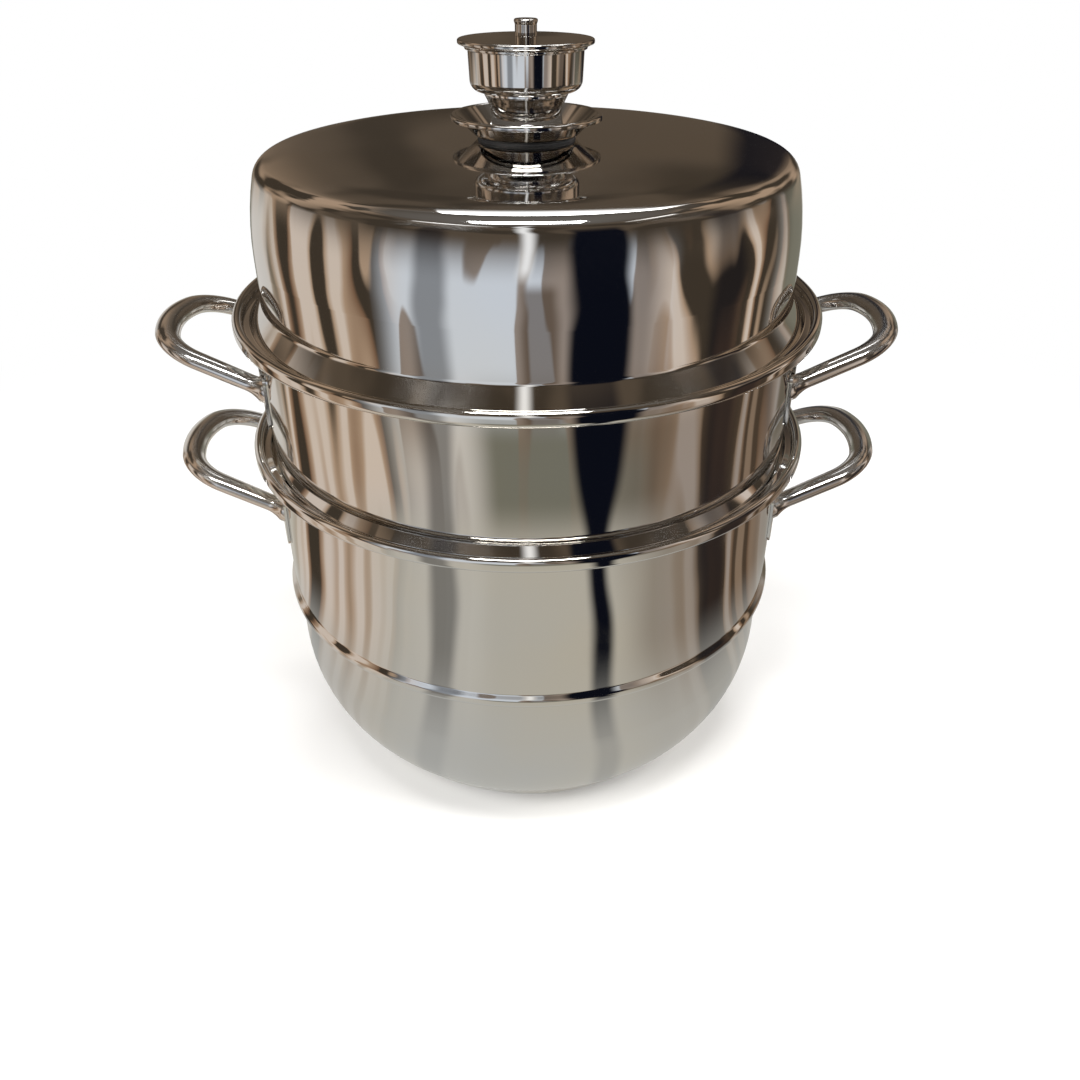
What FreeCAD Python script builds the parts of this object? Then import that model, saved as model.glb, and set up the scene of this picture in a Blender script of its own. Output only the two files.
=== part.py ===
import FreeCAD, Part
import math
import os

# Two-tier steamer pot: a deep pot with a steam plate, a steamer tier with its own plate, and a tall lid.
# Millimetres, +Z up, the origin on the table under the middle of the base. The handles point along X.

V = FreeCAD.Vector
UP = V(0, 0, 1)
CENTRE = V(0, 0, 0)
QUARTER = 90.0              # a right angle, in degrees

# Pressed sheet and the fits between the pieces
sheet = 0.8                 # steel sheet of every shell and plate
seat_clearance = 0.6        # foot of a tier or lid to the lip around it
plate_clearance = 0.7       # edge of a steam plate to the wall around it
weld_gap = 0.1              # wall to weld plate, and weld plate to handle
bolt_clearance = 0.2        # screw to the holes it passes through

# Walls and rims, alike on the pot and the tier
mouth_radius = 160.0        # inside of the walls
ledge_reach = 7.0           # mouth to the inside of the lip
ledge_bend = 4.8            # bend from the wall out to the ledge
ledge_drop = 2.5            # ledge below the rim's level
lip_bend = 0.5              # corner between ledge and lip
curl_radius = 2.75          # corners of the rolled edge, outside
curl_rise = 3.35            # top of the roll above the rim's level
curl_fall = 4.95            # bottom of the roll below it
curl_opening = 0.8          # slit where the roll ends beside the lip

# Pot
pot_rim_height = 215.0      # table to the rim's level, inside the roll
pot_ledge_height = 112.0    # table to the ledge under the pot's steam plate
pot_ledge_step = 2.0        # the wall below the ledge is this much narrower
bead_bulge = 2.6            # bead round the wall at the ledge
bead_rise = 4.2             # its upright side
bead_slope = 2.8            # height of the slope from there back to the wall
bead_bend = 1.8
bead_flare = 2.0            # bend from the slope into the wall
hip_radius = 99.0           # upper and lower curve of the pot's belly
hip_lean = 35.0
heel_radius = 37.0

# Sandwich base
base_core_height = 4.2
base_overhang = 14.5        # core beyond the level part of the pot's floor
base_cap_bend = 1.5
base_cap_fit = 0.4          # core to the wall of the cap
base_heel_gap = 0.6         # top of that wall to the pot's heel above it

# Tier
tier_pitch = 80.4           # pot rim to tier rim
foot_brim = 3.8             # flat ring that rests on the ledge below
foot_bend = 1.5
tier_ledge_rise = 8.0       # ledge under the tier's plate, above the seat
tier_ledge_width = 4.0
tier_fold = 1.2             # fold at the ledge's inner edge

# Lid
lid_inset = 5.8             # mouth to the inside of the lid's wall
lid_foot_rise = 12.0        # height of the sloping foot
lid_foot_bend = 3.5
lid_wall_height = 38.0      # seat to the start of the shoulder
shoulder_radius = 154.0     # long curve of the wall, then the corner, then the crown's edge
shoulder_lean = 15.4
corner_radius = 9.0
corner_lean = 76.7
crown_edge_radius = 110.0
crown_edge_lean = 87.0
crown_level = 10.0          # level middle of the crown, under the knob

# Knob, heights above the top of the lid
gasket_radius = 27.0
gasket_thickness = 1.2
saucer_foot_radius = 27.5
saucer_lip_radius = 41.7
saucer_height = 11.2
saucer_bend = 5.0
saucer_curl = 1.4
neck_foot_radius = 21.0
neck_waist_radius = 18.6
neck_top_radius = 22.8
neck_height = 23.8
neck_waist_height = 14.0
neck_bend = 16.0
neck_wall = 1.6
cup_foot_radius = 30.2
cup_radius = 31.0
cup_bend = 5.4
cup_height = 20.2
cup_wall = 1.4
cap_radius = 36.3
cap_edge = 2.2
cap_edge_bend = 0.9
cap_rise = 0.9
cap_spigot_height = 3.0
cap_spigot_wall = 2.0
cap_spigot_fit = 0.3
cap_bead = 1.6              # ring under the disc, beyond the cup
cap_bead_height = 1.3
cap_bead_bend = 0.6
cap_flare = 1.4             # height of the slope from the ring out to the disc's edge
finial_radius = 5.8
finial_head_radius = 6.3
finial_height = 8.2
finial_head_height = 2.6
finial_bend = 0.9
finial_bore_depth = 5.8
screw_radius = 2.5
screw_head_radius = 5.0
screw_head_height = 3.2
screw_head_bend = 1.6
screw_tip_bend = 0.6
washer_radius = 9.0
washer_thickness = 1.2

# Handles: a flat loop of oval tube, tilted up outwards
handle_length = 54.2        # wall to the middle of the outer bar
handle_drop = 13.0          # middle of the outer bar below the rim
handle_tilt = 21.4
handle_bow = 86.0           # long curve of the outer bar
handle_bow_half = 24.7      # half the width of that curve
handle_bend = 28.4          # curve from the bar into each leg
handle_root_half = 51.0     # half the width of the loop at the wall
tube_bar_width = 14.2       # oval tube, in the plane of the loop
tube_leg_width = 12.0
tube_thickness = 9.6
tube_root_width = 18.0      # flared end at the wall
tube_root_thickness = 15.0
tube_flare = 9.0
tube_run_in = 12.0          # length of tube trimmed off by the wall
tube_wall = 1.0

# Weld plates
pad_thickness = 1.5
pad_top_width = 25.0
pad_bottom_width = 13.0
pad_above = 12.0            # above and below the tube's middle
pad_below = 24.0
pad_bend = 5.0

# Steam plates
hole_radius = 4.0
hole_pitch = 20.0           # ring to ring
holes_per_ring = 6          # holes gained by each ring
plate_border = 8.0          # plain edge outside the holes

# Heights and radii that follow from the sizes above
wall_radius = mouth_radius + sheet
lip_radius = mouth_radius + ledge_reach
rim_radius = lip_radius + 2 * curl_radius
foot_radius = lip_radius - seat_clearance
plate_radius = mouth_radius - plate_clearance
lid_radius = mouth_radius - lid_inset
handle_reach = wall_radius + handle_length
pot_floor = base_core_height + 2 * sheet
tier_rim_height = pot_rim_height + tier_pitch
tier_seat = pot_rim_height - ledge_drop
tier_ledge_height = tier_seat + tier_ledge_rise
lid_seat = tier_rim_height - ledge_drop
bolt_hole_radius = screw_radius + bolt_clearance


def vector(corner):
    return V(corner[0], 0, corner[1])


def bend_points(before, corner, after):
    """Start, middle and end of the arc that rounds a corner (across, height, radius)."""
    here = vector(corner)
    back = (vector(before) - here).normalize()
    ahead = (vector(after) - here).normalize()
    half = back.getAngle(ahead) / 2
    run = corner[2] / math.tan(half)
    inward = (back + ahead).normalize()
    middle = here + inward * (corner[2] / math.sin(half) - corner[2])
    return here + back * run, middle, here + ahead * run


def path_edges(corners, closed=False):
    """Straight edges through the corners (across, height, bend radius), joined by tangent arcs."""
    count = len(corners)
    stops = []
    for i, corner in enumerate(corners):
        inner = closed or 0 < i < count - 1
        if inner and corner[2] > 0:
            stops.append(bend_points(corners[i - 1], corner, corners[(i + 1) % count]))
        else:
            stops.append((vector(corner),))
    edges = []
    for i, stop in enumerate(stops):
        if len(stop) == 3:
            edges.append(Part.Arc(*stop).toShape())
        if i < count - 1 or closed:
            start = stop[-1]
            end = stops[(i + 1) % count][0]
            if start.distanceToPoint(end) > 1e-5:
                edges.append(Part.LineSegment(start, end).toShape())
    return edges


def other_face(corners, thickness):
    """The corners of the sheet's other face, to the right of the path."""
    steps = [(vector(b) - vector(a)).normalize() for a, b in zip(corners, corners[1:])]
    sides = [V(s.z, 0, -s.x) for s in steps]
    shifted = []
    for i, corner in enumerate(corners):
        first = sides[max(i - 1, 0)]
        last = sides[min(i, len(sides) - 1)]
        move = (first + last) * (thickness / (1 + first.dot(last)))
        point = vector(corner) + move
        radius = corner[2]
        if radius > 0:
            left_turn = first.cross(last).y < 0
            radius = radius + thickness if left_turn else radius - thickness
        shifted.append((point.x, point.z, radius))
    return shifted


def revolved(edges):
    face = Part.Face(Part.Wire(Part.__sortEdges__(edges)))
    return face.revolve(CENTRE, UP, 360)


def pressed(corners, thickness=sheet):
    """A turned shell of sheet: the path is its inner face, with the metal on the right."""
    back = other_face(corners, thickness)
    ends = [
        Part.LineSegment(vector(corners[-1]), vector(back[-1])).toShape(),
        Part.LineSegment(vector(back[0]), vector(corners[0])).toShape(),
    ]
    return revolved(path_edges(corners) + ends + path_edges(back))


def turned(corners):
    """A turned solid from the closed outline of its half section."""
    return revolved(path_edges(corners, closed=True))


def ring(inner, outer, bottom, height):
    return turned([(inner, bottom, 0), (outer, bottom, 0), (outer, bottom + height, 0), (inner, bottom + height, 0)])


def leaning(start, lean, length, radius):
    """The corner at this distance from start, along a line that leans inwards from upright."""
    angle = math.radians(lean)
    return (start[0] - length * math.sin(angle), start[1] + length * math.cos(angle), radius)


def bend_run(radius, turn):
    """Length that a bend takes from each of its two straight runs."""
    return radius * math.tan(math.radians(turn) / 2)


def rim_path(level):
    """Bend, ledge, lip and rolled edge at the top of a wall, for a rim at this level."""
    ledge = level - ledge_drop
    top = level + curl_rise
    bottom = level - curl_fall
    return [
        (mouth_radius, ledge, ledge_bend),
        (lip_radius, ledge, lip_bend),
        (lip_radius, top, curl_radius),
        (rim_radius, top, curl_radius),
        (rim_radius, bottom, curl_radius),
        (lip_radius + sheet + curl_opening, bottom, 0),
    ]


def belly_corners():
    """Heel and hip of the pot, between its level floor and its upright wall."""
    low_radius = mouth_radius - pot_ledge_step
    slope = bend_run(hip_radius, hip_lean) + bend_run(heel_radius, QUARTER - hip_lean)
    angle = math.radians(hip_lean)
    heel = (low_radius - slope * math.sin(angle), pot_floor, heel_radius)
    hip = (low_radius, pot_floor + slope * math.cos(angle), hip_radius)
    return heel, hip


def pot_shell():
    heel, hip = belly_corners()
    bead_radius = mouth_radius + bead_bulge
    bead_shoulder = pot_ledge_height + bead_rise
    belly = [
        (0, pot_floor, 0),
        heel,
        hip,
        (hip[0], pot_ledge_height, 0),
        (bead_radius, pot_ledge_height, bead_bend),
        (bead_radius, bead_shoulder, bead_bend),
        (mouth_radius, bead_shoulder + bead_slope, bead_flare),
    ]
    return pressed(belly + rim_path(pot_rim_height))


def floor_radius():
    """Radius of the level part of the pot's floor."""
    return belly_corners()[0][0] - bend_run(heel_radius, QUARTER - hip_lean)


def heel_height(across):
    """Height of the pot's outside at this distance from the axis, under its heel."""
    outside = heel_radius + sheet
    return pot_floor + heel_radius - math.sqrt(outside ** 2 - (across - floor_radius()) ** 2)


def base_core():
    """Disc whose lower edge follows the bend of the cap."""
    edge = floor_radius() + base_overhang
    top = sheet + base_core_height
    return turned([(0, sheet, 0), (edge, sheet, base_cap_bend), (edge, top, 0), (0, top, 0)])


def base_cap():
    """Cup around the core, its wall drawn up beside the pot's heel."""
    inside = floor_radius() + base_overhang + base_cap_fit
    wall_top = heel_height(inside) - base_heel_gap
    return pressed([(0, sheet, 0), (inside, sheet, base_cap_bend), (inside, wall_top, 0)])


def foot_path(seat):
    """The flat brim that rests on the ledge below."""
    return [(foot_radius, seat, 0), (foot_radius - foot_brim, seat, foot_bend)]


def steamer_shell():
    fold = (mouth_radius - tier_ledge_width, tier_ledge_height, tier_fold)
    corner = (mouth_radius, tier_ledge_height, lip_bend)
    return pressed(foot_path(tier_seat) + [fold, corner] + rim_path(tier_rim_height))


def lid_corners():
    """Inner face of the lid from its brim to the middle of the crown."""
    wall_foot = (lid_radius, lid_seat + lid_foot_rise, lid_foot_bend)
    turns = (shoulder_lean, corner_lean - shoulder_lean, crown_edge_lean - corner_lean)
    radii = (shoulder_radius, corner_radius, crown_edge_radius)
    runs = [bend_run(r, t) for r, t in zip(radii, turns)]
    shoulder = (lid_radius, lid_seat + lid_wall_height + runs[0], shoulder_radius)
    corner = leaning(shoulder, shoulder_lean, runs[0] + runs[1], corner_radius)
    crown_edge = leaning(corner, corner_lean, runs[1] + runs[2], crown_edge_radius)
    crown_start = leaning(crown_edge, crown_edge_lean, runs[2], 0)
    crown_run = (crown_start[0] - crown_level) / (1 + math.sin(math.radians(crown_edge_lean)))
    crown_radius = crown_run / bend_run(1, QUARTER - crown_edge_lean)
    crown = leaning(crown_start, crown_edge_lean, crown_run, crown_radius)
    return foot_path(lid_seat) + [wall_foot, shoulder, corner, crown_edge, crown, (bolt_hole_radius, crown[1], 0)]


lid_inside = lid_corners()[-1][1]
knob_seat = lid_inside + sheet
saucer_bottom = knob_seat + gasket_thickness
neck_bottom = saucer_bottom + sheet
cup_bottom = knob_seat + neck_height
cap_bottom = cup_bottom + cup_height
cap_edge_bottom = cap_bottom + cap_bead_height + cap_flare
cap_edge_top = cap_edge_bottom + cap_edge
finial_bottom = cap_edge_top + cap_rise


def lid_shell():
    return pressed(lid_corners())


def knob_gasket():
    return ring(bolt_hole_radius, gasket_radius, knob_seat, gasket_thickness)


def knob_saucer():
    """Dish with a flat floor, a sloping side and a lip rolled outwards."""
    lip = saucer_lip_radius - 2 * saucer_curl
    lip_top = knob_seat + saucer_height + saucer_curl
    lip_bottom = knob_seat + saucer_height - saucer_curl
    return pressed([
        (bolt_hole_radius, neck_bottom, 0),
        (saucer_foot_radius, neck_bottom, saucer_bend),
        (lip, lip_top, saucer_curl),
        (saucer_lip_radius, lip_top, saucer_curl),
        (saucer_lip_radius, lip_bottom, 0),
    ])


def knob_neck():
    """Waisted hollow stem that stands in the saucer; its closed top carries the cup."""
    waist = knob_seat + neck_waist_height
    inner_top = cup_bottom - neck_wall
    floor_ring = [
        (neck_foot_radius - neck_wall, neck_bottom, 0),
        (neck_foot_radius, neck_bottom, 0),
        (neck_waist_radius, waist, neck_bend),
        (neck_top_radius, cup_bottom - neck_wall, neck_wall),
        (neck_top_radius, cup_bottom, 0),
    ]
    inside = [
        (bolt_hole_radius, cup_bottom, 0),
        (bolt_hole_radius, inner_top, 0),
        (neck_waist_radius - neck_wall, inner_top, 0),
        (neck_waist_radius - neck_wall, waist, 0),
    ]
    return turned(floor_ring + inside)


def knob_cup():
    """Open round cup, closed by the cap."""
    inside_foot = cup_foot_radius - cup_wall
    floor_top = cup_bottom + cup_wall
    return turned([
        (bolt_hole_radius, cup_bottom, 0),
        (cup_foot_radius, cup_bottom, cup_bend),
        (cup_radius, cap_bottom, 0),
        (cup_radius - cup_wall, cap_bottom, 0),
        (inside_foot, floor_top, cup_bend - cup_wall),
        (bolt_hole_radius, floor_top, 0),
    ])


def knob_cap():
    """Disc with a low cone on top, a ring below its edge and a spigot in the cup."""
    spigot = cup_radius - cup_wall - cap_spigot_fit
    spigot_bottom = cap_bottom - cap_spigot_height
    bead = cup_radius + cap_bead
    return turned([
        (bolt_hole_radius, cap_bottom, 0),
        (spigot - cap_spigot_wall, cap_bottom, 0),
        (spigot - cap_spigot_wall, spigot_bottom, 0),
        (spigot, spigot_bottom, 0),
        (spigot, cap_bottom, 0),
        (bead, cap_bottom, cap_bead_bend),
        (bead, cap_bottom + cap_bead_height, 0),
        (cap_radius, cap_edge_bottom, cap_edge_bend),
        (cap_radius, cap_edge_top, cap_edge_bend),
        (finial_head_radius, finial_bottom, 0),
        (bolt_hole_radius, finial_bottom, 0),
    ])


def knob_finial():
    """Round nut with a slightly wider head and a blind bore for the screw."""
    top = finial_bottom + finial_height
    head = top - finial_head_height
    bore_top = finial_bottom + finial_bore_depth
    return turned([
        (0, bore_top, 0),
        (bolt_hole_radius, bore_top, 0),
        (bolt_hole_radius, finial_bottom, 0),
        (finial_radius, finial_bottom, 0),
        (finial_radius, head, finial_bend),
        (finial_head_radius, (head + top) / 2, 0),
        (finial_head_radius, top, finial_bend),
        (0, top, 0),
    ])


def knob_washer():
    return ring(bolt_hole_radius, washer_radius, lid_inside - washer_thickness, washer_thickness)


def knob_screw():
    """Pan head inside the lid, and a shank up into the finial."""
    head_top = lid_inside - washer_thickness
    head_bottom = head_top - screw_head_height
    tip = finial_bottom + finial_bore_depth - bolt_clearance
    return turned([
        (0, head_bottom, 0),
        (screw_head_radius, head_bottom, screw_head_bend),
        (screw_head_radius, head_top, 0),
        (screw_radius, head_top, 0),
        (screw_radius, tip, screw_tip_bend),
        (0, tip, 0),
    ])


def oval(width, thickness, place, along):
    """An oval wire across the tube; width lies in the plane of the loop."""
    stretch = FreeCAD.Matrix()
    stretch.scale(width / 2, thickness / 2, 1)
    rim = Part.makeCircle(1).transformGeometry(stretch)
    across = UP.cross(along).normalize()
    rim.Placement = FreeCAD.Placement(place, FreeCAD.Rotation(across, UP, along, "ZXY"))
    return Part.Wire(rim.Edges)


def tube_half(skin):
    """Half of the flat loop, from the middle of the outer bar to a tube end inside the wall.

    skin is how far the surface lies under the outside of the tube.
    """
    tilt = math.cos(math.radians(handle_tilt))
    root_distance = math.sqrt(wall_radius ** 2 - handle_root_half ** 2)
    root = V((root_distance - handle_reach) / tilt, handle_root_half, 0)
    bow_centre = V(-handle_bow, 0, 0)
    bow_turn = math.asin(handle_bow_half / handle_bow)
    bow_end = V(math.cos(bow_turn), math.sin(bow_turn), 0)
    bend_centre = bow_centre + bow_end * (handle_bow - handle_bend)
    to_root = root - bend_centre
    leg_turn = math.atan2(to_root.y, to_root.x) - math.acos(handle_bend / to_root.Length)
    leg_start = V(math.cos(leg_turn), math.sin(leg_turn), 0)
    leg = UP.cross(leg_start)
    bend_start = bow_centre + bow_end * handle_bow
    bend_end = bend_centre + leg_start * handle_bend
    thickness = tube_thickness - 2 * skin
    bar_width = tube_bar_width - 2 * skin
    end_size = (tube_root_width - 2 * skin, tube_root_thickness - 2 * skin)
    bar_face = Part.Face(oval(bar_width, thickness, CENTRE, V(0, 1, 0)))
    bar = bar_face.revolve(bow_centre, UP, math.degrees(bow_turn))
    bend_face = Part.Face(oval(bar_width, thickness, bend_start, UP.cross(bow_end)))
    bend = bend_face.revolve(bend_centre, UP, math.degrees(leg_turn - bow_turn))
    wide = oval(bar_width, thickness, bend_end, leg)
    narrow = oval(tube_leg_width - 2 * skin, thickness, root - leg * tube_flare, leg)
    flared = oval(*end_size, root, leg)
    buried = oval(*end_size, root + leg * tube_run_in, leg)
    runs = [Part.makeLoft(pair, True, True) for pair in ([wide, narrow], [narrow, flared], [flared, buried])]
    return bar.multiFuse([bend] + runs)


def loop(skin):
    half = tube_half(skin)
    return half.fuse(half.mirror(CENTRE, V(0, 1, 0))).removeSplitter()


def handle(rim_height):
    """The right-hand loop of tube in its place, its ends trimmed to the weld plates."""
    tube = loop(0).cut(loop(tube_wall))
    tube.rotate(CENTRE, V(0, 1, 0), -handle_tilt)
    tube.translate(V(handle_reach, 0, rim_height - handle_drop))
    plate_face = wall_radius + 2 * weld_gap + pad_thickness
    return tube.cut(Part.makeCylinder(plate_face, rim_height + handle_reach))


def pad(rim_height, side):
    """One weld plate, bent to the wall, at the back (side 1) or front (side -1) of a right-hand loop."""
    azimuth = math.degrees(math.asin(handle_root_half / wall_radius))
    root_distance = wall_radius * math.cos(math.radians(azimuth))
    drop = handle_drop + (handle_reach - root_distance) * math.tan(math.radians(handle_tilt))
    middle = rim_height - drop
    outline = path_edges([
        (-pad_top_width / 2, middle + pad_above, pad_bend),
        (pad_top_width / 2, middle + pad_above, pad_bend),
        (pad_bottom_width / 2, middle - pad_below, pad_bend),
        (-pad_bottom_width / 2, middle - pad_below, pad_bend),
    ], closed=True)
    blank = Part.Face(Part.Wire(Part.__sortEdges__(outline))).extrude(V(0, rim_radius, 0))
    blank.rotate(CENTRE, UP, side * azimuth - QUARTER)
    band = ring(wall_radius + weld_gap, wall_radius + weld_gap + pad_thickness, 0, rim_height)
    return blank.common(band)


def pads(rim_height):
    return Part.makeCompound([pad(rim_height, side) for side in (1, -1)])


def steam_plate(bottom):
    """Round plate with rings of steam holes."""
    holes = [CENTRE]
    rings = int((plate_radius - plate_border - hole_radius) / hole_pitch)
    for i in range(1, rings + 1):
        count = holes_per_ring * i
        for k in range(count):
            angle = 2 * math.pi * k / count
            holes.append(V(math.cos(angle), math.sin(angle), 0) * (hole_pitch * i))
    rims = [Part.Wire(Part.makeCircle(plate_radius))]
    rims += [Part.Wire(Part.makeCircle(hole_radius, place)) for place in holes]
    plate = Part.Face(rims, "Part::FaceMakerBullseye").extrude(V(0, 0, sheet))
    plate.translate(V(0, 0, bottom))
    return plate


def turned_round(shape):
    """The same piece on the left, half a turn about the pot's axis."""
    other = shape.copy()
    other.rotate(CENTRE, UP, 180)
    return other


def all_pieces():
    pieces = {
        "pot_shell": pot_shell(),
        "base_core": base_core(),
        "base_cap": base_cap(),
        "pot_plate": steam_plate(pot_ledge_height),
        "steamer_shell": steamer_shell(),
        "steamer_plate": steam_plate(tier_ledge_height),
        "lid_shell": lid_shell(),
        "knob_gasket": knob_gasket(),
        "knob_saucer": knob_saucer(),
        "knob_neck": knob_neck(),
        "knob_cup": knob_cup(),
        "knob_cap": knob_cap(),
        "knob_finial": knob_finial(),
        "knob_washer": knob_washer(),
        "knob_screw": knob_screw(),
    }
    for owner, rim_height in (("pot", pot_rim_height), ("steamer", tier_rim_height)):
        tube = handle(rim_height)
        plates = pads(rim_height)
        pieces[owner + "_handle_right"] = tube
        pieces[owner + "_handle_left"] = turned_round(tube)
        pieces[owner + "_handle_right_pads"] = plates
        pieces[owner + "_handle_left_pads"] = turned_round(plates)
    return pieces


os.makedirs("parts", exist_ok=True)
for name, shape in all_pieces().items():
    shape.exportStep(os.path.join("parts", name + ".step"))
    print(name, shape.isValid(), len(shape.Solids), round(shape.Volume, 1))
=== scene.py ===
import math

import bmesh
import bpy
from mathutils import Matrix, Vector


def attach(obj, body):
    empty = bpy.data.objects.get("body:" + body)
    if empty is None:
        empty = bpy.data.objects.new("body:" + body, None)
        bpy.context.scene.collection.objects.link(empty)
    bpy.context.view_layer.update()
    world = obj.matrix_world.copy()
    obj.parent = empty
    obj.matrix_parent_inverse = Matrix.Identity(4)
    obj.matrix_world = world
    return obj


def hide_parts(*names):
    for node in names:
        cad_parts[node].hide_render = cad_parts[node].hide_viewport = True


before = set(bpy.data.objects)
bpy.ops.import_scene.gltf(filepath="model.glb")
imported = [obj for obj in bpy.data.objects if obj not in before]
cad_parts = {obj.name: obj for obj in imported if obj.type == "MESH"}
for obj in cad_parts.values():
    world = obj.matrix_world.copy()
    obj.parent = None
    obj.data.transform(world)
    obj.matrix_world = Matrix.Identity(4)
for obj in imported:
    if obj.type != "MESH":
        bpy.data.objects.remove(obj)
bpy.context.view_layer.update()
scene = bpy.context.scene

# Sizes of the sheet pieces, in millimetres, the same as those of the solids
MM = 0.001
SHEET = 0.8
MOUTH = 160.0
WALL = MOUTH + SHEET
LEDGE_REACH, LEDGE_BEND, LEDGE_DROP = 7.0, 4.8, 2.5
LIP = MOUTH + LEDGE_REACH
LIP_BEND = 0.5
CURL, CURL_RISE, CURL_FALL, CURL_SLIT = 2.75, 3.35, 4.95, 0.8
RIM = LIP + 2 * CURL
SEAT_CLEARANCE = 0.6
FOOT = LIP - SEAT_CLEARANCE
FOOT_BRIM, FOOT_BEND = 3.8, 1.5

POT_RIM = 215.0
POT_FLOOR = 5.8
POT_LEDGE, POT_STEP = 112.0, 2.0
BEAD_BULGE, BEAD_RISE, BEAD_SLOPE = 2.6, 4.2, 2.8
BEAD_BEND, BEAD_FLARE = 1.8, 2.0
HIP_LEAN, HIP_BEND, HEEL_BEND = 35.0, 99.0, 37.0
BASE_OVERHANG, BASE_FIT, BASE_HEEL_GAP, BASE_BEND = 14.5, 0.4, 0.6, 1.5

TIER_PITCH = 80.4
TIER_RIM = POT_RIM + TIER_PITCH
TIER_SEAT = POT_RIM - LEDGE_DROP
TIER_LEDGE_RISE, TIER_LEDGE_WIDTH, TIER_FOLD = 8.0, 4.0, 1.2

LID_SEAT = TIER_RIM - LEDGE_DROP
LID_WALL, LID_WALL_HEIGHT = 154.2, 38.0
LID_FOOT_RISE, LID_FOOT_BEND = 12.0, 3.5
LID_LEANS = (15.4, 76.7, 87.0)  # of the shoulder, the corner and the crown's edge
LID_BENDS = (154.0, 9.0, 110.0)
CROWN_LEVEL = 10.0
BOLT_HOLE = 2.7

# Fineness of the turned pieces
ROUND_STEPS = 144
SHORT_BEND = 20.0
SHORT_STEP, FEWEST_SHORT = math.radians(9), 2
LONG_STEP, FEWEST_LONG = math.radians(4), 5
HOLD = 0.5
EASE = 0.15
WELD = 1e-3
SHORTEST = 0.02
STRAIGHT = 1 - 1e-9
SHARP = math.radians(38)


def spot(corner):
    """A corner (across, height, bend radius) as a point of the section plane."""
    return Vector((corner[0], 0.0, corner[1]))


def bend_at(before, corner, after, radius):
    """Start, centre and turn of the arc that rounds a corner."""
    here = spot(corner)
    back = (spot(before) - here).normalized()
    ahead = (spot(after) - here).normalized()
    half = back.angle(ahead) / 2
    run = radius / math.tan(half)
    centre = here + (back + ahead).normalized() * (radius / math.sin(half))
    start = here + back * run
    end = here + ahead * run
    side = (start - centre).cross(end - centre).y
    return start, centre, math.copysign(math.pi - 2 * half, side)


class Section:
    """Half section of a turned piece, drawn as straight runs and arcs."""

    def __init__(self):
        self.mesh = bmesh.new()
        self.tip = None

    def reach(self, goal):
        """Straight run to goal, with a holding point near each end."""
        if self.tip is None:
            self.tip = bmesh.ops.create_vert(self.mesh, co=goal)["vert"][0]
            return
        start = self.tip.co.copy()
        run = goal - start
        if run.length < SHORTEST:
            return
        hold = min(HOLD / run.length, 1 / 3)
        for share in (hold, 1 - hold, 1.0):
            self.tip = bmesh.ops.extrude_vert_indiv(self.mesh, verts=[self.tip])["verts"][0]
            self.tip.co = start + run * share

    def sweep(self, centre, turn, radius):
        short = radius < SHORT_BEND
        step, fewest = (SHORT_STEP, FEWEST_SHORT) if short else (LONG_STEP, FEWEST_LONG)
        steps = max(fewest, math.ceil(abs(turn) / step))
        swept = bmesh.ops.spin(
            self.mesh, geom=[self.tip], cent=centre, axis=(0, 1, 0), angle=turn, steps=steps
        )
        self.tip = swept["geom_last"][0]

    def draw(self, corners):
        """Outline through the corners; it is left open only where both ends are on the axis."""
        count = len(corners)
        on_axis = corners[0][0] == 0 and corners[-1][0] == 0
        for i, corner in enumerate(corners):
            before, after = corners[i - 1], corners[(i + 1) % count]
            arriving = (spot(corner) - spot(before)).normalized()
            leaving = (spot(after) - spot(corner)).normalized()
            straight = abs(arriving.dot(leaving)) > STRAIGHT
            if on_axis and i in (0, count - 1) or i == 0 or straight:
                self.reach(spot(corner))
                continue
            radius = corner[2] or EASE
            start, centre, turn = bend_at(before, corner, after, radius)
            self.reach(start)
            self.sweep(centre, turn, radius)
        if not on_axis:
            self.reach(spot(corners[0]))
        return self


def finished(name, mesh_in_mm):
    """Closes a bmesh, scales it to metres and makes it an object of the scene."""
    bm = mesh_in_mm
    bmesh.ops.remove_doubles(bm, verts=bm.verts, dist=WELD)
    bmesh.ops.recalc_face_normals(bm, faces=bm.faces)
    bmesh.ops.scale(bm, vec=(MM, MM, MM), verts=bm.verts)
    mesh = bpy.data.meshes.new(name)
    bm.to_mesh(mesh)
    bm.free()
    mesh.shade_smooth()
    mesh.set_sharp_from_angle(angle=SHARP)
    piece = bpy.data.objects.new(name, mesh)
    scene.collection.objects.link(piece)
    return piece


def turned(name, corners):
    """A piece of revolution about the pot's axis."""
    bm = Section().draw(corners).mesh
    bmesh.ops.spin(
        bm, geom=bm.verts[:] + bm.edges[:], cent=(0, 0, 0), axis=(0, 0, 1), angle=math.tau,
        steps=ROUND_STEPS, use_merge=True,
    )
    return finished(name, bm)


def sheet_outline(path, thickness=SHEET):
    """Both faces of a sheet whose inner face follows path, with the metal to the right of it."""
    steps = [(spot(b) - spot(a)).normalized() for a, b in zip(path, path[1:])]
    sides = [Vector((s.z, 0, -s.x)) for s in steps]
    back = []
    for i, corner in enumerate(path):
        first = sides[max(i - 1, 0)]
        last = sides[min(i, len(sides) - 1)]
        point = spot(corner) + (first + last) * (thickness / (1 + first.dot(last)))
        radius = corner[2]
        if radius > 0:
            left_turn = first.cross(last).y < 0
            radius = radius + thickness if left_turn else radius - thickness
        back.append((point.x, point.z, radius))
    return list(path) + back[::-1]


def bend_run(radius, turn):
    return radius * math.tan(math.radians(turn) / 2)


def leaning(start, lean, length, radius):
    angle = math.radians(lean)
    return (start[0] - length * math.sin(angle), start[1] + length * math.cos(angle), radius)


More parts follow.
